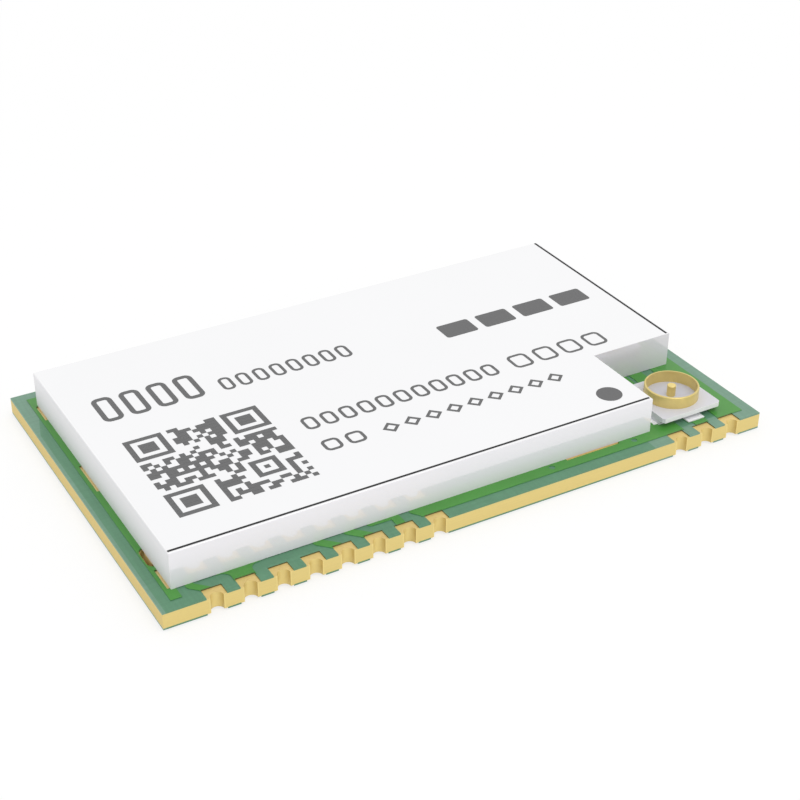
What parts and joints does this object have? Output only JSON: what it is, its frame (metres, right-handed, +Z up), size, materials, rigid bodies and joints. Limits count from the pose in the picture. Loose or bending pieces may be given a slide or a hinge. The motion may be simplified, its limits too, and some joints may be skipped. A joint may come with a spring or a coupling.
{
  "type": "lora module",
  "caption": "Thin radio module: castellated green board with plated edge half-holes, a white shield can with a cut-out corner, and a small coaxial antenna socket.",
  "frame": {"origin": "middle of the board outline, on the underside of the bottom mask", "axes": "+X along the long edges towards the antenna socket, +Y from the front edge to the back edge, +Z up through the can"},
  "size_m": [0.026, 0.016, 0.0023],
  "materials": {
    "gold_plating": "matt gold plating over copper",
    "copper": "rolled copper foil, covered by the mask",
    "laminate": "glass and epoxy board with a yellow routed edge",
    "top_mask": "satin green solder mask",
    "bottom_mask": "satin green solder mask",
    "can_sheet": "smooth white-finished steel sheet, glossy",
    "can_print": "dark grey print on the can",
    "insulator": "pale moulded insulator",
    "socket_ring_metal": "gold-plated ring, tinned tabs",
    "socket_pin_metal": "gold-plated pin, tinned foot",
    "chip_moulding": "black moulding compound",
    "oscillator_case": "seam-welded metal lid on a ceramic tray",
    "inductor_ceramic": "dark blue-grey ceramic with tinned ends",
    "capacitor_ceramic": "tan ceramic with tinned ends",
    "resistor_ceramic": "black film resistor with tinned ends"
  },
  "bodies": {
    "root": {"antenna_switch": "chip_moulding", "antenna_track": "copper", "board_laminate": "laminate", "bottom_ground_copper": "copper", "bottom_solder_mask": "bottom_mask", "bulk_capacitor_1": "capacitor_ceramic", "bulk_capacitor_2": "capacitor_ceramic", "bypass_capacitor_1": "capacitor_ceramic", "bypass_capacitor_2": "capacitor_ceramic", "component_lands": "gold_plating", "controller_chip": "chip_moulding", "edge_pad_01": "gold_plating", "edge_pad_02": "gold_plating", "edge_pad_03": "gold_plating", "edge_pad_04": "gold_plating", "edge_pad_05": "gold_plating", "edge_pad_06": "gold_plating", "edge_pad_07": "gold_plating", "edge_pad_08": "gold_plating", "edge_pad_09": "gold_plating", "edge_pad_10": "gold_plating", "edge_pad_11": "gold_plating", "edge_pad_12": "gold_plating", "edge_pad_13": "gold_plating", "edge_pad_14": "gold_plating", "edge_pad_15": "gold_plating", "edge_pad_16": "gold_plating", "edge_pad_17": "gold_plating", "edge_pad_18": "gold_plating", "edge_pad_19": "gold_plating", "edge_pad_20": "gold_plating", "edge_pad_21": "gold_plating", "edge_pad_22": "gold_plating", "filter_capacitor_1": "capacitor_ceramic", "filter_capacitor_2": "capacitor_ceramic", "filter_capacitor_3": "capacitor_ceramic", "filter_capacitor_4": "capacitor_ceramic", "left_slot_plating": "gold_plating", "pull_resistor_1": "resistor_ceramic", "pull_resistor_2": "resistor_ceramic", "pull_resistor_3": "resistor_ceramic", "radio_chip": "chip_moulding", "reference_oscillator": "oscillator_case", "right_slot_plating": "gold_plating", "shield_can": "can_sheet", "signal_tracks": "copper", "socket_centre_contact": "socket_pin_metal", "socket_insulator": "insulator", "socket_outer_contact": "socket_ring_metal", "top_ground_copper": "copper", "top_solder_mask": "top_mask", "tuning_inductor_1": "inductor_ceramic", "tuning_inductor_2": "inductor_ceramic", "tuning_inductor_3": "inductor_ceramic", "tuning_inductor_4": "inductor_ceramic", "voltage_regulator": "chip_moulding"}
  },
  "joints": []
}
